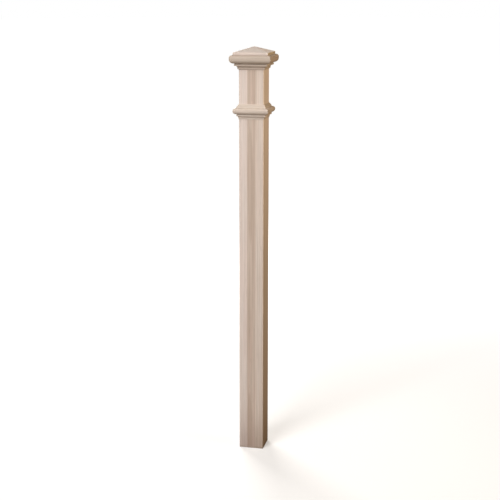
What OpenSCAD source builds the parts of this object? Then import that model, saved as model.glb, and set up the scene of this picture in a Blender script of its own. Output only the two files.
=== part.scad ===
// Square newel post for a stair.
// The post is glued up from three staves. A mitred collar moulding and a mitred
// cap moulding run round it, and a block with a low peak closes the top.
// Millimetres, +Z up. The origin is the centre of the foot, on the floor.

/* [Post] */
// Width of the square post across its flat faces
post_w = 92.1; // [70:0.1:140]
// Height from the floor to the tip of the peak
post_h = 1524; // [900:1:1900]
// Radius that eases the long edges of the post
edge_r = 3; // [0.5:0.1:6]
// Height of plain post between the collar and the cap moulding
neck_h = 122; // [60:1:250]

/* [Peaked block] */
// Distance that the block stands out past the faces of the post
block_out = 18.5; // [8:0.5:24]
// Height of the block's upright edge
block_edge_h = 9.5; // [3:0.5:15]
// Rise of the peak above the upright edge
peak_rise = 20; // [6:0.5:60]

/* [Cap moulding] */
// Height of the rounded nosing
cap_nose_h = 29.7; // [27:0.1:44]
// Distance that the nosing stands out from the face of the post
cap_nose_out = 29.8; // [25:0.1:45]
// Radius of the nosing's upper edge
cap_nose_top_r = 9; // [3:0.5:12]
// Radius that turns the nosing in underneath
cap_nose_under_r = 15; // [6:0.5:17]
// Height of the groove under the nosing
cap_groove_h = 2.3; // [1:0.1:5]
// Distance that the floor of the groove stands out
cap_groove_out = 12.8; // [9:0.1:20]
// Height of the flat fillet under the groove
cap_fillet_h = 6.2; // [2:0.1:12]
// Distance that the flat fillet stands out
cap_fillet_out = 14.5; // [14:0.5:25]
// Radius of the hollow under the fillet
cap_cove_r = 7; // [3:0.5:8.5]
// Height of the narrow band under the hollow
cap_band_h = 4.2; // [1:0.1:8]
// Distance that the narrow band stands out
cap_band_out = 4.4; // [3.5:0.1:5.5]
// Height of the last step down to the post
cap_step_h = 3; // [1:0.1:6]
// Distance that the last step stands out
cap_step_out = 1.4; // [0.8:0.1:3]

/* [Collar moulding] */
// Thickness of the collar's top edge where the slope starts
collar_lip_out = 0.6; // [0.5:0.1:3]
// Height of the slope that sheds dust off the collar
collar_slope_h = 11; // [5:0.1:20]
// Distance that the foot of the slope stands out
collar_slope_out = 8.2; // [6:0.1:14]
// Height of the upright edge under the slope
collar_ledge_h = 3.2; // [1:0.1:6]
// Height of the rounded nosing
collar_nose_h = 21.8; // [21:0.1:28]
// Distance that the nosing stands out from the face of the post
collar_nose_out = 19.3; // [16:0.1:30]
// Radius of the nosing's upper edge
collar_nose_top_r = 9.5; // [3:0.5:10]
// Radius that turns the nosing in underneath
collar_nose_under_r = 11; // [4:0.5:11.5]
// Height of the groove under the nosing
collar_groove_h = 2.2; // [1:0.1:5]
// Distance that the floor of the groove stands out
collar_groove_out = 7; // [5:0.1:12]
// Height of the flat fillet under the groove
collar_fillet_h = 5; // [2:0.1:10]
// Distance that the flat fillet stands out
collar_fillet_out = 8.5; // [8.5:0.5:16]
// Radius of the hollow under the fillet
collar_cove_r = 5; // [2:0.5:5.5]
// Height of the narrow band under the hollow
collar_band_h = 3.8; // [1:0.1:8]
// Distance that the narrow band stands out
collar_band_out = 2.2; // [1.8:0.1:3]
// Height of the last step down to the post
collar_step_h = 2.8; // [1:0.1:6]
// Distance that the last step stands out
collar_step_out = 0.9; // [0.6:0.1:1.6]

/* [Hidden] */
$fn = 96;

light_wood = "#d9cbbd";
dark_wood = "#c4ada0";
moulding_wood = "#cdbaa6";

stave_count = 3;
stave_w = post_w / stave_count;
block_w = post_w + 2 * block_out;

// Length that each strip has past its mitres before they are cut
mitre_waste = 1;

// Levels, from the tip of the peak down to the foot of the collar
block_z = post_h - peak_rise - block_edge_h;
cap_groove_z = block_z - cap_nose_h;
cap_fillet_z = cap_groove_z - cap_groove_h;
cap_cove_z = cap_fillet_z - cap_fillet_h;
cap_band_z = cap_cove_z - cap_cove_r;
cap_step_z = cap_band_z - cap_band_h;
cap_foot_z = cap_step_z - cap_step_h;
collar_top_z = cap_foot_z - neck_h;
collar_ledge_z = collar_top_z - collar_slope_h;
collar_nose_z = collar_ledge_z - collar_ledge_h;
collar_groove_z = collar_nose_z - collar_nose_h;
collar_fillet_z = collar_groove_z - collar_groove_h;
collar_cove_z = collar_fillet_z - collar_fillet_h;
collar_band_z = collar_cove_z - collar_cove_r;
collar_step_z = collar_band_z - collar_band_h;
collar_foot_z = collar_step_z - collar_step_h;

// Quarter turns that take a front strip to each face of the post
front = 0;
right = 1;
back = 2;
left = 3;

// Outlines of the mouldings are drawn with X as the distance out from the post
// and Y as the height above the floor.

// A flat member that stands out by a distance, from a level down by a height
module member(out, top_z, h) {
    translate([0, top_z - h])
        square([out, h]);
}

// A round-over: the part of a circle that lies between two levels of a member
module round_over(out, centre_z, top_z, r) {
    intersection() {
        member(out, top_z, r);
        translate([out - r, centre_z])
            circle(r);
    }
}

// A nosing: an upright face between two round-overs, with the flat wood behind them
module nosing(out, top_z, h, top_r, under_r) {
    upright_top_z = top_z - top_r;
    upright_h = h - top_r - under_r;
    upright_foot_z = upright_top_z - upright_h;
    member(out - max(top_r, under_r), top_z, h);
    member(out - top_r, top_z, top_r + upright_h);
    member(out, upright_top_z, upright_h);
    round_over(out, upright_top_z, top_z, top_r);
    round_over(out, upright_foot_z, upright_foot_z, under_r);
}

// A hollow that sweeps in from below a fillet to the band under it
module cove(band_out, top_z, r) {
    difference() {
        member(band_out + r, top_z, r);
        translate([band_out + r, top_z - r])
            circle(r);
    }
}

module cap_outline() {
    nosing(cap_nose_out, block_z, cap_nose_h, cap_nose_top_r, cap_nose_under_r);
    member(cap_groove_out, cap_groove_z, cap_groove_h);
    member(cap_fillet_out, cap_fillet_z, cap_fillet_h);
    cove(cap_band_out, cap_cove_z, cap_cove_r);
    member(cap_band_out, cap_band_z, cap_band_h);
    member(cap_step_out, cap_step_z, cap_step_h);
}

module collar_outline() {
    polygon([
        [0, collar_ledge_z],
        [collar_slope_out, collar_ledge_z],
        [collar_lip_out, collar_top_z],
        [0, collar_top_z]
    ]);
    member(collar_slope_out, collar_ledge_z, collar_ledge_h);
    nosing(collar_nose_out, collar_nose_z, collar_nose_h,
        collar_nose_top_r, collar_nose_under_r);
    member(collar_groove_out, collar_groove_z, collar_groove_h);
    member(collar_fillet_out, collar_fillet_z, collar_fillet_h);
    cove(collar_band_out, collar_cove_z, collar_cove_r);
    member(collar_band_out, collar_band_z, collar_band_h);
    member(collar_step_out, collar_step_z, collar_step_h);
}

// One strip of moulding on one face of the post, mitred at both ends.
// The two mitres are the 45 degree planes through the axis of the post.
module mitred_strip(side, reach) {
    half_l = post_w / 2 + reach + mitre_waste;
    rotate([0, 0, 90 * side])
        color(moulding_wood)
            intersection() {
                translate([0, -post_w / 2, 0])
                    rotate([90, 0, -90])
                        linear_extrude(2 * half_l, center = true)
                            children();
                linear_extrude(post_h)
                    polygon([[0, 0], [-half_l, -half_l], [half_l, -half_l]]);
            }
}

module cap_strip(side) {
    mitred_strip(side, cap_nose_out)
        cap_outline();
}

module collar_strip(side) {
    mitred_strip(side, collar_nose_out)
        collar_outline();
}

// Square outline of the post with its four corners eased
module post_outline() {
    flat_w = post_w - 2 * edge_r;
    square([flat_w, post_w], center = true);
    square([post_w, flat_w], center = true);
    for (x = [-1, 1], y = [-1, 1])
        translate([x * flat_w / 2, y * flat_w / 2])
            circle(edge_r);
}

// One stave of the post, counted from the left
module stave(index) {
    linear_extrude(block_z)
        intersection() {
            post_outline();
            translate([index * stave_w - post_w / 2, -post_w / 2])
                square([stave_w, post_w]);
        }
}

// The outline of the block as seen from any face
module block_gable() {
    polygon([
        [-block_w / 2, 0],
        [block_w / 2, 0],
        [block_w / 2, block_edge_h],
        [0, block_edge_h + peak_rise],
        [-block_w / 2, block_edge_h]
    ]);
}

module peak_block() {
    color(light_wood)
        translate([0, 0, block_z])
            intersection_for (turn = [0, 90])
                rotate([90, 0, turn])
                    linear_extrude(block_w, center = true)
                        block_gable();
}

module left_stave() {
    color(light_wood)
        stave(0);
}

module middle_stave() {
    color(dark_wood)
        stave(1);
}

module right_stave() {
    color(light_wood)
        stave(2);
}

left_stave();
middle_stave();
right_stave();
collar_strip(front);  // collar_front
collar_strip(right);  // collar_right
collar_strip(back);  // collar_back
collar_strip(left);  // collar_left
cap_strip(front);  // cap_front
cap_strip(right);  // cap_right
cap_strip(back);  // cap_back
cap_strip(left);  // cap_left
peak_block();
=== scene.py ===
import math

import bpy
from mathutils import Matrix, Vector, noise


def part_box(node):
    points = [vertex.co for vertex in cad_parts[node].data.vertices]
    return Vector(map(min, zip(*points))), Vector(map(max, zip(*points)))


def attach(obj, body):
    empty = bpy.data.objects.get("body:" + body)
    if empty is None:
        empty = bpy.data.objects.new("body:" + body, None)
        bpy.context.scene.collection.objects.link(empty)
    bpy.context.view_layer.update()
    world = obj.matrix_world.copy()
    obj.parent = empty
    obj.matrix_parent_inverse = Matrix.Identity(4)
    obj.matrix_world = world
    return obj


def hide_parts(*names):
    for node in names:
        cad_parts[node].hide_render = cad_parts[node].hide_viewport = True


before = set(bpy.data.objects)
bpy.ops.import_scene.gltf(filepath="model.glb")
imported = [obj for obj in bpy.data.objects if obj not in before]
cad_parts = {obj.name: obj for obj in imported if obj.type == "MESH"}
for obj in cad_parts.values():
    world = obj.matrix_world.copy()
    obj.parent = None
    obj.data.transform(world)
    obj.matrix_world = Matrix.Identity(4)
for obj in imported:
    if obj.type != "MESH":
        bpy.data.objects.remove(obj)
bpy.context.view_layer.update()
print("frame loaded")

mm = 0.001
sides = ("front", "right", "back", "left")  # in quarter turns from the front face
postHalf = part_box("right_stave")[1].x


def smooth(value, start, end):
    t = min(max((value - start) / (end - start), 0.0), 1.0)
    return t * t * (3 - 2 * t)


def addObject(name, data):
    thing = bpy.data.objects.new(name, data)
    bpy.context.scene.collection.objects.link(thing)
    return thing


def addLayer(mesh, label, domain, values):
    # one number for each point or face, which the wood reads by its label
    layer = mesh.attributes.new(label, "FLOAT", domain)
    layer.data.foreach_set("value", values)


def arcPoints(centre, radius, startDegrees, endDegrees, steps):
    points = []
    for i in range(steps + 1):
        angle = math.radians(startDegrees + (endDegrees - startDegrees) * i / steps)
        points.append((centre[0] + radius * math.cos(angle), centre[1] + radius * math.sin(angle)))
    return points


def squareRing(lowX, highX, lowY, highY, radii, cornerSteps, hold):
    # a rectangle whose four corners are eased, anticlockwise from the front left one,
    # with a point a little way in from each corner so that the flats stay flat
    corners = (
        (lowX, lowY, 1, 1, 180),
        (highX, lowY, -1, 1, 270),
        (highX, highY, -1, -1, 0),
        (lowX, highY, 1, -1, 90),
    )
    points, masks = [], []
    for (x, y, stepX, stepY, start), radius in zip(corners, radii):
        centre = (x + stepX * radius, y + stepY * radius)
        arc = arcPoints(centre, radius, start, start + 90, cornerSteps)
        angle = math.radians(start)
        lead = Vector(arc[0]) - Vector((-math.sin(angle), math.cos(angle))) * hold
        tail = Vector(arc[-1]) + Vector((-math.cos(angle), -math.sin(angle))) * hold
        points += [tuple(lead), *arc, tuple(tail)]
        onArc = [math.sin(math.pi * i / cornerSteps) ** 0.5 for i in range(cornerSteps + 1)]
        masks += [0.0, *onArc, 0.0]
    return points, masks


endGrainFrom = (0.6, 0.95)  # end grain starts to show, and shows fully; 1 is square across the grain


def loftMesh(name, rings, edgeMasks, grainAxis):
    # rings of equal length, from the bottom up, with a flat face at each end
    count = len(rings[0])
    points = [point for ring in rings for point in ring]
    faces = []
    for level in range(len(rings) - 1):
        low, high = level * count, (level + 1) * count
        for i in range(count):
            j = (i + 1) % count
            faces.append((low + i, low + j, high + j, high + i))
    sideCount = len(faces)
    faces.append(tuple(reversed(range(count))))
    faces.append(tuple(range(len(points) - count, len(points))))
    mesh = bpy.data.meshes.new(name)
    mesh.from_pydata(points, [], faces)
    for polygon in mesh.polygons:
        polygon.use_smooth = polygon.index < sideCount
    mesh.update()
    addLayer(mesh, "edge", "POINT", [mask for ringMasks in edgeMasks for mask in ringMasks])
    squareness = [abs(polygon.normal.dot(Vector(grainAxis))) for polygon in mesh.polygons]
    addLayer(mesh, "endGrain", "FACE", [smooth(value, *endGrainFrom) for value in squareness])
    return mesh


staveShape = {
    "edgeRadius": 3.0,    # mm, the eased long edges of the post
    "edgeWander": 0.5,    # mm, how unevenly they were sanded
    "wanderRate": 9.0,    # how often that changes in a metre
    "edgeSeeds": (7.3, 40.0),  # they only keep two edges from wandering alike
    "glueBevel": 0.22,    # mm, the fine groove where two staves meet
    "footBevel": 0.8,     # mm, the broken edge round the foot
    "footTurn": 0.35,     # where the bevel bends, as a share of its height and depth
    "levelGap": 12.0,     # mm between two rings of points
    "cornerSteps": 8,
    "hold": 0.6,          # mm past a rounded corner, where the flat starts
}


def makeStave(name, outerLeft, outerRight):
    low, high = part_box(name)
    shape = staveShape
    foot, turn = shape["footBevel"] * mm, shape["footTurn"]
    cornerSeed, staveSeed = shape["edgeSeeds"]
    levelCount = round((high.z - low.z) / (shape["levelGap"] * mm))
    levels = [(low.z, foot), (low.z + foot * turn, foot * turn), (low.z + foot, 0.0)]
    footRings = len(levels)
    levels += [(low.z + (high.z - low.z) * i / levelCount, 0.0) for i in range(1, levelCount + 1)]
    rings, masks = [], []
    for level, (z, inset) in enumerate(levels):
        radii = []
        for corner, outer in enumerate((outerLeft, outerRight, outerRight, outerLeft)):
            place = Vector((z * shape["wanderRate"], corner * cornerSeed, low.x * staveSeed))
            wander = noise.noise(place) * shape["edgeWander"]
            radii.append((shape["edgeRadius"] + wander if outer else shape["glueBevel"]) * mm)
        insetLeft = inset if outerLeft else 0.0
        insetRight = inset if outerRight else 0.0
        ring, mask = squareRing(
            low.x + insetLeft, high.x - insetRight, low.y + inset, high.y - inset,
            radii, shape["cornerSteps"], shape["hold"] * mm,
        )
        rings.append([(x, y, z) for x, y in ring])
        masks.append([1.0] * len(mask) if level < footRings else mask)
    return addObject("newel_" + name, loftMesh(name, rings, masks, (0, 0, 1)))


blockShape = {
    "edgeHeight": 9.5,    # mm, the upright edge under the slopes
    "easeRadius": 0.9,    # mm, every sharp edge
    "underBevel": 0.4,    # mm
    "tipFlat": 0.9,       # mm, half width of the sanded tip
    "turnSteps": 5,       # rings where the upright edge turns to the slope
    "slopeSteps": 28,     # rings up the slope
    "cornerSteps": 5,
    "hold": 0.5,          # mm past a rounded corner, where the flat starts
    "roundShare": 0.6,    # most that a corner may take of a ring's half width, near the tip
    "holdShare": 0.2,     # and most that the hold may take
    "paleBelow": (2.0, 0.3),  # in ease radii under the eave: the pale band of wear and painted highlight starts, and is full
    "paleAbove": 0.6,     # in ease radii over it: that band ends
}


def makeBlock(name):
    low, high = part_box(name)
    shape = blockShape
    half = high.x
    ease, bevel, tip = (shape[key] * mm for key in ("easeRadius", "underBevel", "tipFlat"))
    eave = low.z + shape["edgeHeight"] * mm
    slope = math.atan2(high.z - eave, half)
    levels = [(low.z, half - bevel), (low.z + bevel, half), ((low.z + eave) / 2, half)]
    # the eave turns from upright to the slope in a small arc
    turn = math.pi / 2 - slope
    centreX, centreZ = half - ease, eave - ease * math.tan(turn / 2)
    for i in range(shape["turnSteps"] + 1):
        angle = turn * i / shape["turnSteps"]
        levels.append((centreZ + ease * math.sin(angle), centreX + ease * math.cos(angle)))
    startZ, startHalf = levels[-1]
    for i in range(1, shape["slopeSteps"] + 1):
        width = startHalf + (tip - startHalf) * i / shape["slopeSteps"]
        levels.append((startZ + (startHalf - width) * math.tan(slope), width))
    # a pale band round the eave, partly sanding wear and partly a painted highlight
    paleFrom, paleAll = (eave - ease * radii for radii in shape["paleBelow"])
    paleTo = eave + ease * shape["paleAbove"]
    rings, masks = [], []
    for z, width in levels:
        radius = min(ease, width * shape["roundShare"])
        hold = min(shape["hold"] * mm, width * shape["holdShare"])
        ring, mask = squareRing(-width, width, -width, width, [radius] * 4, shape["cornerSteps"], hold)
        under, over = smooth(z, paleFrom, paleAll), smooth(z, eave, paleTo)
        rings.append([(x, y, z) for x, y in ring])
        masks.append([max(value, under * (1 - over)) for value in mask])
    return addObject("newel_" + name, loftMesh(name, rings, masks, (1, 0, 0)))


# Each member of a moulding is (kind, distance out, height) from the top down, all in mm.
# A nosing also has the radius of its upper edge and the radius that turns it in underneath.
# A cove has the distance of the band under it, and a slope those of its top and its foot.

capMembers = [
    ("nosing", 29.8, 29.7, 9.0, 15.0),
    ("flat", 12.8, 2.3),
    ("flat", 14.5, 6.2),
    ("cove", 4.4, 7.0),
    ("flat", 4.4, 4.2),
    ("flat", 1.4, 3.0),
]
collarMembers = [
    ("slope", (0.6, 8.2), 11.0),
    ("flat", 8.2, 3.2),
    ("nosing", 19.3, 21.8, 9.5, 11.0),
    ("flat", 7.0, 2.2),
    ("flat", 8.5, 5.0),
    ("cove", 2.2, 5.0),
    ("flat", 2.2, 3.8),
    ("flat", 0.9, 2.8),
]
mouldingShape = {
    "easeRadius": 0.45,   # mm, the small rounding that sanding leaves on each corner
    "easeSteps": 3,
    "easeShare": 0.3,     # most that a rounding may take of a side
    "sharpTurn": 25.0,    # degrees, the least turn that is a corner
    "hold": 0.35,         # mm past a rounding, where the side starts
    "noseSteps": 14,
    "coveSteps": 12,
    "runSteps": 72,       # rings along a strip
    "mitreEase": 0.3,     # mm, how far the corners are sanded down at a mitre
    "mitreWidth": 0.9,    # mm, how far along the strip that reaches
    "samePoint": 0.0001,  # mm, points nearer than this are one
    "misfit": 0.2,        # mm, most that a strip's height may differ from the frame
}


def memberPoints(members):
    # the outline of a strip as (out, height below the top), down its front
    shape = mouldingShape
    points = [(0.0, 0.0)]
    level = 0.0
    for kind, out, height, *radii in members:
        if kind == "nosing":
            upper, under = radii
            points += arcPoints((out - upper, -level - upper), upper, 90, 0, shape["noseSteps"])
            points += arcPoints((out - under, -level - height + under), under, 0, -90, shape["noseSteps"])
        elif kind == "cove":
            points += arcPoints((out + height, -level - height), height, 90, 180, shape["coveSteps"])
        elif kind == "slope":
            points += [(out[0], -level), (out[1], -level - height)]
        else:
            points += [(out, -level), (out, -level - height)]
        level += height
    points.append((0.0, -level))
    outline = [Vector(points[0])]
    for point in points[1:]:
        if (Vector(point) - outline[-1]).length > shape["samePoint"]:
            outline.append(Vector(point))
    return outline, level


def easeCorners(points):
    # rounds each corner that turns sharply, and marks it as an edge or as a groove
    shape = mouldingShape
    outline, edges, grooves = [], [], []

    def add(point, edge=0.0, groove=0.0):
        outline.append(point)
        edges.append(edge)
        grooves.append(groove)

    for i, point in enumerate(points):
        before, after = points[i - 1] - point, points[(i + 1) % len(points)] - point
        turn = before.angle(-after)
        if turn < math.radians(shape["sharpTurn"]):
            add(point)
            continue
        isEdge = before.x * after.y - before.y * after.x > 0
        roomBefore, roomAfter = before.length * shape["easeShare"], after.length * shape["easeShare"]
        reach = min(shape["easeRadius"] * math.tan(turn / 2), roomBefore, roomAfter)
        start, end = point + before.normalized() * reach, point + after.normalized() * reach
        if roomBefore > reach + shape["hold"]:
            add(start + before.normalized() * shape["hold"])
        for step in range(shape["easeSteps"] + 1):
            t = step / shape["easeSteps"]
            eased = start * (1 - t) ** 2 + point * 2 * t * (1 - t) + end * t * t
            add(eased, edge=float(isEdge), groove=float(not isEdge))
        if roomAfter > reach + shape["hold"]:
            add(end + after.normalized() * shape["hold"])
    return outline, edges, grooves


def outlineMesh(name, members, topZ):
    points, height = memberPoints(members)
    outline, edges, grooves = easeCorners(points)
    count = len(outline)
    mesh = bpy.data.meshes.new(name)
    places = [(point.x * mm, topZ + point.y * mm, 0.0) for point in outline]
    mesh.from_pydata(places, [(i, (i + 1) % count) for i in range(count)], [])
    addLayer(mesh, "edge", "POINT", edges)
    addLayer(mesh, "groove", "POINT", grooves)
    return mesh, height


def feed(tree, socket, value):
    # links another node's output to a socket, or sets a plain value on it
    if isinstance(value, bpy.types.NodeSocket):
        tree.links.new(value, socket)
    elif socket.type == "RGBA":
        socket.default_value = (*value, 1.0)
    else:
        socket.default_value = value


def addNode(tree, kind, inputs=None, **settings):
    node = tree.nodes.new(kind)
    for name, value in settings.items():
        setattr(node, name, value)
    for name, value in (inputs or {}).items():
        feed(tree, node.inputs[name], value)
    return node


def mathNode(tree, operation, *values):
    return addNode(tree, "ShaderNodeMath", dict(enumerate(values)), operation=operation).outputs[0]


def vectorNode(tree, operation, *values):
    return addNode(tree, "ShaderNodeVectorMath", dict(enumerate(values)), operation=operation).outputs[0]


def scaledNode(tree, vector, factor):
    inputs = {0: vector, "Scale": factor}
    return addNode(tree, "ShaderNodeVectorMath", inputs, operation="SCALE").outputs[0]


def lengthNode(tree, vector):
    return addNode(tree, "ShaderNodeVectorMath", {0: vector}, operation="LENGTH").outputs["Value"]


def splitNode(tree, vector):
    return addNode(tree, "ShaderNodeSeparateXYZ", {0: vector}).outputs


def joinNode(tree, **parts):
    return addNode(tree, "ShaderNodeCombineXYZ", parts).outputs[0]


def fadeNode(tree, value, start, end, first=0.0, last=1.0):
    # goes smoothly from first to last while the value goes from start to end
    inputs = {"Value": value, "From Min": start, "From Max": end, "To Min": first, "To Max": last}
    return addNode(tree, "ShaderNodeMapRange", inputs, interpolation_type="SMOOTHSTEP").outputs["Result"]


def noiseNode(tree, vector, detail=3.0, scale=1.0):
    return addNode(tree, "ShaderNodeTexNoise", {"Vector": vector, "Scale": scale, "Detail": detail})


def mixColour(tree, factor, first, second, blend="MIX"):
    inputs = {0: factor, 6: first, 7: second}  # the colour sockets of this node share their names
    return addNode(tree, "ShaderNodeMix", inputs, data_type="RGBA", blend_type=blend).outputs[2]


def arrange(tree):
    # puts each node one column to the right of the nodes that feed it
    columns, rows = {}, {}
    columnWidth, rowHeight = 220, 260

    def columnOf(node):
        if node.name not in columns:
            sources = [link.from_node for socket in node.inputs for link in socket.links]
            columns[node.name] = 1 + max((columnOf(source) for source in sources), default=0)
        return columns[node.name]

    for node in tree.nodes:
        column = columnOf(node)
        rows[column] = rows.get(column, 0) + 1
        node.location = (column * columnWidth, -rows[column] * rowHeight)


def mitreTree():
    # an outline drawn in X (out) and Y (height) is swept along Z from -1 to 1, and then each
    # point goes to its place on the front of the post: the strip is as long as the distance
    # from the post's axis allows, which cuts both ends at 45 degrees
    tree = bpy.data.node_groups.new("mitredRun", "GeometryNodeTree")
    sockets = {
        "Outline": "Geometry", "Post Half": "Float", "Mitre Ease": "Float", "Mitre Width": "Float",
        "Turn": "Float", "Run Steps": "Int", "Wood": "Material",
    }
    for label, kind in sockets.items():
        tree.interface.new_socket(label, in_out="INPUT", socket_type="NodeSocket" + kind)
    tree.interface.new_socket("Strip", in_out="OUTPUT", socket_type="NodeSocketGeometry")
    given = addNode(tree, "NodeGroupInput").outputs
    outline = addNode(tree, "GeometryNodeMeshToCurve", {"Mesh": given["Outline"]}).outputs[0]

    # the path, with its points drawn together towards the mitres
    path = addNode(tree, "GeometryNodeCurvePrimitiveLine", {"Start": (0, 0, -1), "End": (0, 0, 1)})
    spread = addNode(tree, "GeometryNodeResampleCurve", {
        "Curve": path.outputs[0],
        "Count": given["Run Steps"],
    })
    along = splitNode(tree, addNode(tree, "GeometryNodeInputPosition").outputs[0])["Z"]
    bent = mathNode(tree, "SINE", mathNode(tree, "MULTIPLY", along, math.pi / 2))
    onPath = joinNode(tree, Z=bent)
    drawn = addNode(tree, "GeometryNodeSetPosition", {"Geometry": spread.outputs[0], "Position": onPath})
    sweep = addNode(tree, "GeometryNodeCurveToMesh", {
        "Curve": drawn.outputs[0],
        "Profile Curve": outline,
        "Fill Caps": True,
    })

    # the rule that mitres the strip
    spot = splitNode(tree, addNode(tree, "GeometryNodeInputPosition").outputs[0])
    fromAxis = mathNode(tree, "ADD", spot["X"], given["Post Half"])
    mitred = joinNode(
        tree,
        X=mathNode(tree, "MULTIPLY", spot["Z"], fromAxis),
        Y=mathNode(tree, "MULTIPLY", fromAxis, -1.0),
        Z=spot["Y"],
    )
    placed = addNode(tree, "GeometryNodeSetPosition", {"Geometry": sweep.outputs[0], "Position": mitred})

    # sanding takes a little off the corners where two strips meet
    here = splitNode(tree, addNode(tree, "GeometryNodeInputPosition").outputs[0])
    depthwise = mathNode(tree, "ABSOLUTE", here["Y"])
    sideways = mathNode(tree, "ABSOLUTE", here["X"])
    toMitre = mathNode(tree, "SUBTRACT", depthwise, sideways)
    near = fadeNode(tree, toMitre, 0.0, given["Mitre Width"], -1.0, 0.0)
    depth = mathNode(tree, "MULTIPLY", near, given["Mitre Ease"])
    shift = scaledNode(tree, addNode(tree, "GeometryNodeInputNormal").outputs[0], depth)
    sanded = addNode(tree, "GeometryNodeSetPosition", {"Geometry": placed.outputs[0], "Offset": shift})

    turn = joinNode(tree, Z=given["Turn"])
    turned = addNode(tree, "GeometryNodeTransform", {"Geometry": sanded.outputs[0], "Rotation": turn})
    even = addNode(tree, "GeometryNodeSetShadeSmooth", {"Geometry": turned.outputs[0]})
    real = addNode(tree, "GeometryNodeRealizeInstances", {"Geometry": even.outputs[0]})
    finish = addNode(tree, "GeometryNodeSetMaterial", {
        "Geometry": real.outputs[0],
        "Material": given["Wood"],
    })
    addNode(tree, "NodeGroupOutput", {"Strip": finish.outputs[0]})
    arrange(tree)
    return tree


def makeStrip(name, members, side, tree, wood):
    shape = mouldingShape
    low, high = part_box(name)
    outline, height = outlineMesh(name + "_outline", members, high.z)
    cadHeight = (high.z - low.z) / mm
    if abs(cadHeight - height) > shape["misfit"]:
        raise ValueError(f"{name} is {cadHeight:.1f} mm high in the frame and {height:.1f} mm here")
    source = addObject(name + "_source", outline)
    modifier = source.modifiers.new("run", "NODES")
    modifier.node_group = tree
    values = {
        "Post Half": postHalf,
        "Mitre Ease": shape["mitreEase"] * mm,
        "Mitre Width": shape["mitreWidth"] * mm,
        "Turn": math.radians(90 * sides.index(side)),
        "Run Steps": shape["runSteps"],
        "Wood": wood,
    }
    for item in tree.interface.items_tree:
        if item.in_out == "INPUT" and item.name in values:
            modifier[item.identifier] = values[item.name]
    graph = bpy.context.evaluated_depsgraph_get()
    mesh = bpy.data.meshes.new_from_object(source.evaluated_get(graph))
    bpy.data.objects.remove(source)
    mesh.name = name
    for polygon in mesh.polygons:
        polygon.use_smooth = len(polygon.vertices) <= 4  # the mitred ends stay flat
    return addObject("newel_" + name, mesh)


def newGroup(name, inputs, outputs):
    # an input starts as a number, or as a colour, or with nothing where it is a vector
    group = bpy.data.node_groups.new(name, "ShaderNodeTree")
    kinds = {float: "Float", tuple: "Color", type(None): "Vector"}
    for label, value in inputs.items():
        kind = "NodeSocket" + kinds[type(value)]
        socket = group.interface.new_socket(label, in_out="INPUT", socket_type=kind)
        if isinstance(value, float):
            socket.default_value = value
        elif isinstance(value, tuple):
            socket.default_value = (*value, 1.0)
    for label, kind in outputs.items():
        group.interface.new_socket(label, in_out="OUTPUT", socket_type="NodeSocket" + kind)
    given = addNode(group, "NodeGroupInput").outputs
    result = addNode(group, "NodeGroupOutput")
    return group, given, result


plainWood = (0.7, 0.6, 0.5)  # stands in until a material gives its own colour
grainShape = {
    # how often a pattern changes in a metre: across the grain, across it again, and along it
    "wanderRate": (9, 9, 0.9),
    "rippleRate": (55, 55, 3.0),
    "fibreRate": (900, 900, 16),
    "detail": 2,                     # how many finer layers each of them has
    "wanderBy": (0.03, 0.03, 0.0),   # m, how far the rings bend as they run along the piece
    "rippleBy": 0.0032,              # m, how far a ring is out of round
    "darkens": (0.15, 0.9),          # the part of a year in which its wood darkens
    "pales": (0.92, 1.0),            # and the part in which it turns pale again
    "faintYear": 0.25,               # the weakest ring against the strongest
    "fibreLevels": (0.3, 0.7),       # between these levels the fibres change
    "fibreTone": (0.93, 1.05),       # the tone of the wood
    "fleckTone": 0.45,               # how much darker a fleck is
    "endTone": (0.68, 0.66, 0.55),   # what wood cut across its grain does to the colour
    "roughLevels": (0.25, 0.75),     # between these levels they change
    "roughness": (0.5, 0.68),        # its roughness
    "ringPolish": -0.08,             # late wood is denser and a little smoother
    "ringRelief": 0.5,               # how far rings and flecks stand out, against the fibres
    "fleckRelief": -0.8,
}
grainMasks = {
    # name: how often it changes in a metre, detail, and the levels between which it shows
    "Streaks": ((170, 170, 1.9), 3, 0.38, 0.68),
    "Patches": ((38, 38, 2.6), 2, 0.36, 0.66),
    "Flecks": ((320, 320, 24), 1, 0.66, 0.8),
}


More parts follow.
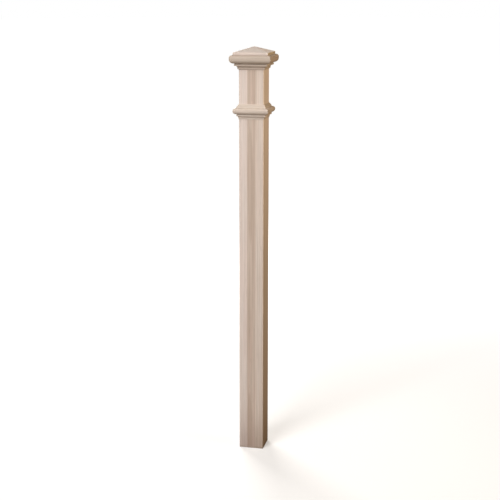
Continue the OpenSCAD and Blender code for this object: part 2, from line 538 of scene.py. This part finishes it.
def grainGroup():
    # solid wood with its grain along Z and its pith on the Z axis, in metres
    shape = grainShape
    inputs = {
        "Vector": None, "Pale": plainWood, "Tan": plainWood, "Blush": plainWood, "Ring Width": 0.004,
        "Rings": 0.5, "Streaks": 0.3, "Flecks": 0.3, "Patches": 0.5, "End Grain": 0.0,
    }
    outputs = {"Color": "Color", "Roughness": "Float", "Height": "Float"}
    group, given, result = newGroup("woodGrain", inputs, outputs)
    vector = given["Vector"]

    def pattern(rate, detail):
        return noiseNode(group, vectorNode(group, "MULTIPLY", vector, rate), detail).outputs

    # the trunk wanders a little, so the rings bend as they run along the piece
    wander = pattern(shape["wanderRate"], shape["detail"])["Color"]
    centred = vectorNode(group, "SUBTRACT", wander, (0.5, 0.5, 0.5))
    bend = vectorNode(group, "MULTIPLY", centred, shape["wanderBy"])
    flat = vectorNode(group, "MULTIPLY", vectorNode(group, "ADD", vector, bend), (1, 1, 0))
    ripple = pattern(shape["rippleRate"], shape["detail"])[0]
    reach = mathNode(group, "MULTIPLY_ADD", ripple, shape["rippleBy"], lengthNode(group, flat))
    years = mathNode(group, "DIVIDE", reach, given["Ring Width"])
    season = mathNode(group, "FRACT", years)
    rise = fadeNode(group, season, *shape["darkens"])
    fall = fadeNode(group, season, *shape["pales"], 1.0, 0.0)
    ring = mathNode(group, "MULTIPLY", rise, fall)
    # no two years grow alike
    year = {"W": mathNode(group, "FLOOR", years)}
    luck = addNode(group, "ShaderNodeTexWhiteNoise", year, noise_dimensions="1D").outputs["Value"]
    yearly = fadeNode(group, luck, 0.0, 1.0, shape["faintYear"], 1.0)
    rings = mathNode(group, "MULTIPLY", mathNode(group, "MULTIPLY", ring, yearly), given["Rings"])

    masks = {}
    for name, (rate, detail, start, end) in grainMasks.items():
        shown = fadeNode(group, pattern(rate, detail)[0], start, end)
        masks[name] = mathNode(group, "MULTIPLY", shown, given[name])
    fibre = pattern(shape["fibreRate"], shape["detail"])[0]

    colour = mixColour(group, masks["Patches"], given["Pale"], given["Blush"])
    colour = mixColour(group, rings, colour, given["Tan"])
    colour = mixColour(group, masks["Streaks"], colour, given["Tan"])
    colour = scaledNode(group, colour, fadeNode(group, fibre, *shape["fibreLevels"], *shape["fibreTone"]))
    fleckDepth = mathNode(group, "MULTIPLY", masks["Flecks"], shape["fleckTone"])
    colour = scaledNode(group, colour, mathNode(group, "SUBTRACT", 1.0, fleckDepth))
    # wood cut across its grain looks darker and more golden
    colour = mixColour(group, given["End Grain"], colour, shape["endTone"], blend="MULTIPLY")
    rough = fadeNode(group, fibre, *shape["roughLevels"], *shape["roughness"])
    height = mathNode(group, "MULTIPLY_ADD", rings, shape["ringRelief"], fibre)
    polished = mathNode(group, "MULTIPLY_ADD", rings, shape["ringPolish"], rough)
    pitted = mathNode(group, "MULTIPLY_ADD", masks["Flecks"], shape["fleckRelief"], height)
    feed(group, result.inputs["Color"], colour)
    feed(group, result.inputs["Roughness"], polished)
    feed(group, result.inputs["Height"], pitted)
    arrange(group)
    return group


wearAndPaintedLightShape = {
    "patchRate": 60.0,                # how often the wear changes in a metre
    "patchDetail": 4.0,
    "patchLevels": (0.3, 0.65),       # between these levels of the patches
    "patchWearAndHighlight": (0.35, 1.0),         # the edge wear and painted highlight go from slight to full
    "wornAndHighlight": (0.83, 0.72, 0.58),       # the pale colour on an edge: sanding wear and a painted highlight
    "polish": -0.12,                  # and what it does to the roughness
    "dust": (0.22, 0.15, 0.1),        # the colour of the painted shade in a groove
}


def wearAndPaintedLightGroup():
    # the corners are paler, partly from sanding wear and partly as a painted highlight, and the grooves
    # are darkened with painted shade
    shape = wearAndPaintedLightShape
    inputs = {
        "Color": plainWood, "Roughness": 0.6, "Vector": None,
        "Edge": 0.0, "Groove": 0.0, "Edge Pale": 0.4, "Groove Shade": 0.4,
    }
    group, given, result = newGroup("cornersAndGrooves", inputs, {"Color": "Color", "Roughness": "Float"})
    patches = noiseNode(group, given["Vector"], shape["patchDetail"], shape["patchRate"]).outputs[0]
    wearAndPaintedLight = fadeNode(group, patches, *shape["patchLevels"], *shape["patchWearAndHighlight"])
    # the edges get sanding wear and a painted highlight, in patches
    rubbedAndLit = mathNode(group, "MULTIPLY", given["Edge"], wearAndPaintedLight)
    edge = mathNode(group, "MULTIPLY", rubbedAndLit, given["Edge Pale"])
    # painted shade in the grooves, where shade falls
    groove = mathNode(group, "MULTIPLY", given["Groove"], given["Groove Shade"])
    paler = mixColour(group, edge, given["Color"], shape["wornAndHighlight"])
    feed(group, result.inputs["Color"], mixColour(group, groove, paler, shape["dust"]))
    smoother = mathNode(group, "MULTIPLY_ADD", edge, shape["polish"], given["Roughness"])
    feed(group, result.inputs["Roughness"], smoother)
    arrange(group)
    return group


footShadeShape = {
    "patchRate": (30, 30, 8),   # how often the painted shade changes in a metre, across and along
    "uneven": 0.05,             # m, how far its upper edge wanders
}


def footShadeGroup():
    # painted shade: the post is darker towards its foot
    inputs = {"Color": plainWood, "Vector": None, "Shade Colour": plainWood, "Reach": 0.2, "Strength": 0.3}
    group, given, result = newGroup("paintedFootShade", inputs, {"Color": "Color"})
    height = splitNode(group, given["Vector"])["Z"]
    patches = noiseNode(group, vectorNode(group, "MULTIPLY", given["Vector"], footShadeShape["patchRate"]))
    height = mathNode(group, "MULTIPLY_ADD", patches.outputs[0], footShadeShape["uneven"], height)
    low = fadeNode(group, mathNode(group, "DIVIDE", height, given["Reach"]), 0.0, 1.0, 1.0, 0.0)
    factor = mathNode(group, "MULTIPLY", low, given["Strength"])
    feed(group, result.inputs["Color"], mixColour(group, factor, given["Color"], given["Shade Colour"]))
    arrange(group)
    return group


woodGroups = {"grain": grainGroup(), "wearAndPaintedLight": wearAndPaintedLightGroup(), "foot": footShadeGroup()}
grainTurns = {"up": (0, 0, 0), "across": (0, math.pi / 2, 0), "deep": (math.pi / 2, 0, 0)}

baseLook = {
    "grain": "up",
    "pith": (60, 90),       # mm, where the heart of the tree lay from the piece's own grain axis
    "slide": 0.0,           # m, moves the pattern along the grain
    "pale": (0.74, 0.65, 0.56),
    "tan": (0.55, 0.44, 0.35),
    "blush": (0.70, 0.58, 0.50),
    "ringWidth": 5.0,       # mm
    "rings": 0.45,          # how strongly each pattern shows, from 0 to 1
    "streaks": 0.35,
    "flecks": 0.35,
    "patches": 0.6,
    "edgePale": 0.4,        # how much paler the edges are: sanding wear and a painted highlight
    "grooveShadeAmount": 0.4,      # and how much painted shade darkens the grooves
    "footShadeStrength": 0.0,    # how strongly painted shade darkens the foot
    "footShadeReach": 0.22,      # m, how high that goes
    "footShadeColour": (0.24, 0.15, 0.12),
    "bump": 0.15,
    "bumpHeight": 0.3,      # mm
    "gloss": 0.35,
}


def layerNode(tree, label):
    return addNode(tree, "ShaderNodeAttribute", attribute_name=label).outputs["Fac"]


def makeWood(name, changes):
    look = {**baseLook, **changes}
    material = bpy.data.materials.new(name)
    material.use_nodes = True
    tree = material.node_tree
    tree.nodes.clear()
    place = addNode(tree, "ShaderNodeTexCoord").outputs["Object"]
    pithX, pithY = look["pith"]
    mapping = addNode(tree, "ShaderNodeMapping", {
        "Vector": place,
        "Rotation": grainTurns[look["grain"]],
        "Location": (pithX * mm, pithY * mm, look["slide"]),
    })
    patterns = ("pale", "tan", "blush", "rings", "streaks", "flecks", "patches")
    grainInputs = {key.capitalize(): look[key] for key in patterns}
    grainInputs["Vector"] = mapping.outputs[0]
    grainInputs["Ring Width"] = look["ringWidth"] * mm
    grainInputs["End Grain"] = layerNode(tree, "endGrain")
    grain = addNode(tree, "ShaderNodeGroup", grainInputs, node_tree=woodGroups["grain"])
    wearAndPaintedLightInputs = {
        "Color": grain.outputs["Color"],
        "Roughness": grain.outputs["Roughness"],
        "Vector": place,
        "Edge": layerNode(tree, "edge"),
        "Groove": layerNode(tree, "groove"),
        "Edge Pale": look["edgePale"],
        "Groove Shade": look["grooveShadeAmount"],
    }
    # wear and a painted highlight on the corners, painted shade in the grooves
    wearAndPaintedLight = addNode(tree, "ShaderNodeGroup", wearAndPaintedLightInputs, node_tree=woodGroups["wearAndPaintedLight"])
    colour = wearAndPaintedLight.outputs["Color"]
    # painted shade, darker towards the foot
    if look["footShadeStrength"] > 0:
        footShadeInputs = {
            "Color": colour,
            "Vector": place,
            "Shade Colour": look["footShadeColour"],
            "Reach": look["footShadeReach"],
            "Strength": look["footShadeStrength"],
        }
        foot = addNode(tree, "ShaderNodeGroup", footShadeInputs, node_tree=woodGroups["foot"])
        colour = foot.outputs["Color"]
    bump = addNode(tree, "ShaderNodeBump", {
        "Strength": look["bump"],
        "Distance": look["bumpHeight"] * mm,
        "Height": grain.outputs["Height"],
    })
    shader = addNode(tree, "ShaderNodeBsdfPrincipled", {
        "Base Color": colour,
        "Roughness": wearAndPaintedLight.outputs["Roughness"],
        "Normal": bump.outputs["Normal"],
        "Specular IOR Level": look["gloss"],
    })
    addNode(tree, "ShaderNodeOutputMaterial", {"Surface": shader.outputs[0]})
    arrange(tree)
    return material


staveLooks = {
    "left_stave": {
        "pith": (75, 40), "slide": 0.3, "ringWidth": 5.5, "rings": 0.35, "streaks": 0.5,
        "pale": (0.74, 0.655, 0.6), "tan": (0.61, 0.50, 0.43), "blush": (0.735, 0.60, 0.545),
        "footShadeStrength": 0.4,
    },
    "middle_stave": {
        "pith": (6, 95), "slide": 1.7, "ringWidth": 7.0, "rings": 0.5, "streaks": 0.6,
        "pale": (0.60, 0.50, 0.42), "tan": (0.44, 0.335, 0.26), "blush": (0.59, 0.44, 0.365),
        "footShadeStrength": 0.35,
    },
    "right_stave": {
        "pith": (-110, 30), "slide": 3.1, "ringWidth": 4.5, "rings": 0.45, "streaks": 0.55,
        "pale": (0.705, 0.62, 0.555), "tan": (0.55, 0.45, 0.365), "blush": (0.695, 0.565, 0.48),
        "footShadeStrength": 0.45, "footShadeColour": (0.22, 0.12, 0.06),
    },
}
collarLook = {
    "pale": (0.645, 0.565, 0.49), "tan": (0.50, 0.405, 0.33), "blush": (0.64, 0.525, 0.455),
    "ringWidth": 4.0, "rings": 0.35, "streaks": 0.4, "grooveShadeAmount": 0.1,
}
capLook = {
    "pale": (0.55, 0.47, 0.395), "tan": (0.44, 0.35, 0.275), "blush": (0.55, 0.43, 0.36),
    "ringWidth": 4.0, "rings": 0.35, "streaks": 0.45, "grooveShadeAmount": 0.1,
}
blockLook = {
    "grain": "across", "pith": (0, 80), "slide": 5.0, "ringWidth": 6.0, "rings": 0.3,
    "pale": (0.67, 0.595, 0.54), "tan": (0.55, 0.46, 0.385), "blush": (0.66, 0.54, 0.49),
}
stripTonesAndShade = {"front": 1.0, "right": 0.82, "back": 0.92, "left": 0.96}  # no two strips are alike, and the right-hand strips are darkened most, which is painted shade
stripCuts = {
    # where a run's first strip was sawn from its tree, and how far on each next one was
    "collar": {"pith": (30, 60), "pithStep": (17, -9), "slide": 0.0, "slideStep": 0.7},
    "cap": {"pith": (30, 60), "pithStep": (17, 12), "slide": 0.35, "slideStep": 0.7},
}


def stripLook(runLook, cut, index):
    side = sides[index]
    # a small random difference between strips, and painted shade on the right-hand ones
    toneAndShade = stripTonesAndShade[side]
    return {
        **runLook,
        **{key: tuple(part * toneAndShade for part in runLook[key]) for key in ("pale", "tan", "blush")},
        "grain": "across" if side in ("front", "back") else "deep",
        "pith": tuple(start + step * index for start, step in zip(cut["pith"], cut["pithStep"])),
        "slide": cut["slide"] + cut["slideStep"] * index,
    }


def finishPiece(piece, node):
    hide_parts(node)
    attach(piece, "root")


for name, outerLeft, outerRight in (
    ("left_stave", True, False),
    ("middle_stave", False, False),
    ("right_stave", False, True),
):
    stave = makeStave(name, outerLeft, outerRight)
    stave.data.materials.append(makeWood(name + "_wood", staveLooks[name]))
    finishPiece(stave, name)
print("staves made")

block = makeBlock("peak_block")
block.data.materials.append(makeWood("peak_block_wood", blockLook))
finishPiece(block, "peak_block")
print("peaked block made")

mitredRun = mitreTree()
for run, members, runLook in (("collar", collarMembers, collarLook), ("cap", capMembers, capLook)):
    for index, side in enumerate(sides):
        name = f"{run}_{side}"
        wood = makeWood(name + "_wood", stripLook(runLook, stripCuts[run], index))
        strip = makeStrip(name, members, side, mitredRun, wood)
        finishPiece(strip, name)
print("mouldings made")


floorLook = {
    "rings": (0.5, 1.5, 4.0, 12.0, 60.0),  # m, how far out each ring of points lies
    "spokes": 96,
    "drop": 0.2,        # mm, how far it lies under the foot
    "paint": 0.6,       # how much of the lights' colour and shadow shows on it
    "bounce": (0.148, 0.098, 0.05),  # the light that it throws back up
    "nearGlow": 0.4,    # an even white under the post
    "farGlow": 1.0,     # and in the distance
    "near": 0.8,        # m, where the one starts to turn to the other
    "far": 4.5,         # m
}


def makeFloorPaint():
    look = floorLook
    material = bpy.data.materials.new("floor_paint")
    material.use_nodes = True
    tree = material.node_tree
    tree.nodes.clear()
    away = lengthNode(tree, addNode(tree, "ShaderNodeTexCoord").outputs["Object"])
    glow = fadeNode(tree, away, look["near"], look["far"], look["nearGlow"], look["farGlow"])
    paint = addNode(tree, "ShaderNodeBsdfDiffuse", {"Color": (look["paint"],) * 3})
    shine = addNode(tree, "ShaderNodeEmission", {"Strength": glow})
    seen = addNode(tree, "ShaderNodeAddShader", {0: paint.outputs[0], 1: shine.outputs[0]})
    bounce = addNode(tree, "ShaderNodeBsdfDiffuse", {"Color": look["bounce"]})
    toCamera = addNode(tree, "ShaderNodeLightPath").outputs["Is Camera Ray"]
    above = addNode(tree, "ShaderNodeMixShader", {0: toCamera, 1: bounce.outputs[0], 2: seen.outputs[0]})
    # from below it is clear, so that the foot can be seen
    underside = addNode(tree, "ShaderNodeNewGeometry").outputs["Backfacing"]
    clear = addNode(tree, "ShaderNodeBsdfTransparent")
    isClear = mathNode(tree, "MULTIPLY", toCamera, underside)
    window = addNode(tree, "ShaderNodeMixShader", {0: isClear, 1: above.outputs[0], 2: clear.outputs[0]})
    addNode(tree, "ShaderNodeOutputMaterial", {"Surface": window.outputs[0]})
    arrange(tree)
    return material


def makeFloor():
    # a flat disc, finer in the middle
    rings, spokes = floorLook["rings"], floorLook["spokes"]
    level = -floorLook["drop"] * mm
    points, faces = [(0, 0, level)], []
    for radius in rings:
        for i in range(spokes):
            angle = 2 * math.pi * i / spokes
            points.append((radius * math.cos(angle), radius * math.sin(angle), level))
    for i in range(spokes):
        j = (i + 1) % spokes
        faces.append((0, 1 + i, 1 + j))
        for ring in range(len(rings) - 1):
            near, far = 1 + ring * spokes, 1 + (ring + 1) * spokes
            faces.append((near + i, far + i, far + j, near + j))
    mesh = bpy.data.meshes.new("floor")
    mesh.from_pydata(points, [], faces)
    mesh.materials.append(makeFloorPaint())
    addObject("floor", mesh)


studio = {
    # name: place in m, point it faces, size in m, watts, colour
    "key": ((-1.9, -5.4, 5.1), (0, 0, 0.9), 2.75, 291.0, (1.0, 0.985, 0.98)),
    "lowFill": ((-1.7, -3.4, 0.85), (0, 0, 0.6), 2.0, 62.0, (0.98, 0.985, 1.0)),
    "top": ((-0.5, -1.1, 3.2), (0, 0, 1.5), 0.8, 9.0, (1.0, 0.98, 0.97)),
    "warmSide": ((1.45, -0.14, 1.65), (0, 0, 1.35), 0.8, 16.4, (1.0, 0.79, 0.56)),
    "back": ((-1.8, 2.9, 2.4), (0, 0, 0.9), 1.8, 150.0, (1.0, 0.97, 0.93)),
}
ambient = {
    "strength": 0.045,              # the soft light from all round
    "colour": (1.0, 0.76, 0.48),
    "seen": 1.0,                    # the plain white that shows behind the post
}


def makeLamps():
    for name, (place, target, size, watts, colour) in studio.items():
        light = bpy.data.lights.new(name, "AREA")
        light.shape = "SQUARE"
        light.size = size
        light.energy = watts
        light.color = colour
        lamp = addObject(name, light)
        lamp.location = place
        lamp.rotation_mode = "QUATERNION"
        lamp.rotation_quaternion = (Vector(target) - Vector(place)).to_track_quat("-Z", "Y")


def makeWorld():
    world = bpy.data.worlds.new("studio")
    bpy.context.scene.world = world
    world.use_nodes = True
    tree = world.node_tree
    tree.nodes.clear()
    soft = addNode(tree, "ShaderNodeBackground", {
        "Color": ambient["colour"],
        "Strength": ambient["strength"],
    })
    white = addNode(tree, "ShaderNodeBackground", {"Color": (ambient["seen"],) * 3})
    toCamera = addNode(tree, "ShaderNodeLightPath").outputs["Is Camera Ray"]
    choose = addNode(tree, "ShaderNodeMixShader", {0: toCamera, 1: soft.outputs[0], 2: white.outputs[0]})
    addNode(tree, "ShaderNodeOutputWorld", {"Surface": choose.outputs[0]})
    arrange(tree)


cameraPlace = {
    "azimuth": 12.6,      # degrees round from the front face, towards the right
    "distance": 4.151,    # m from the post's axis
    "height": 1.7343,     # m above the floor
    "tilt": 13.05,        # degrees down
    "turn": 0.204,        # degrees that it looks to the left of the axis
    "lens": 82.0,         # mm
    "reach": 200.0,       # m, the furthest that it sees
}


def makeCamera():
    azimuth, tilt, turn = (math.radians(cameraPlace[key]) for key in ("azimuth", "tilt", "turn"))
    heading, away = azimuth + turn, cameraPlace["distance"]
    place = Vector((math.sin(azimuth) * away, -math.cos(azimuth) * away, cameraPlace["height"]))
    forward = Vector((
        -math.sin(heading) * math.cos(tilt),
        math.cos(heading) * math.cos(tilt),
        -math.sin(tilt),
    ))
    rightwards = forward.cross(Vector((0, 0, 1))).normalized()
    upwards = rightwards.cross(forward)
    facing = Matrix((rightwards, upwards, -forward)).transposed().to_4x4()
    lens = bpy.data.cameras.new("camera")
    lens.lens = cameraPlace["lens"]
    lens.clip_end = cameraPlace["reach"]
    camera = addObject("camera", lens)
    camera.matrix_world = Matrix.Translation(place) @ facing
    bpy.context.scene.camera = camera


makeFloor()
makeLamps()
makeWorld()
makeCamera()
bpy.context.scene.view_settings.view_transform = "Standard"
print("studio ready")
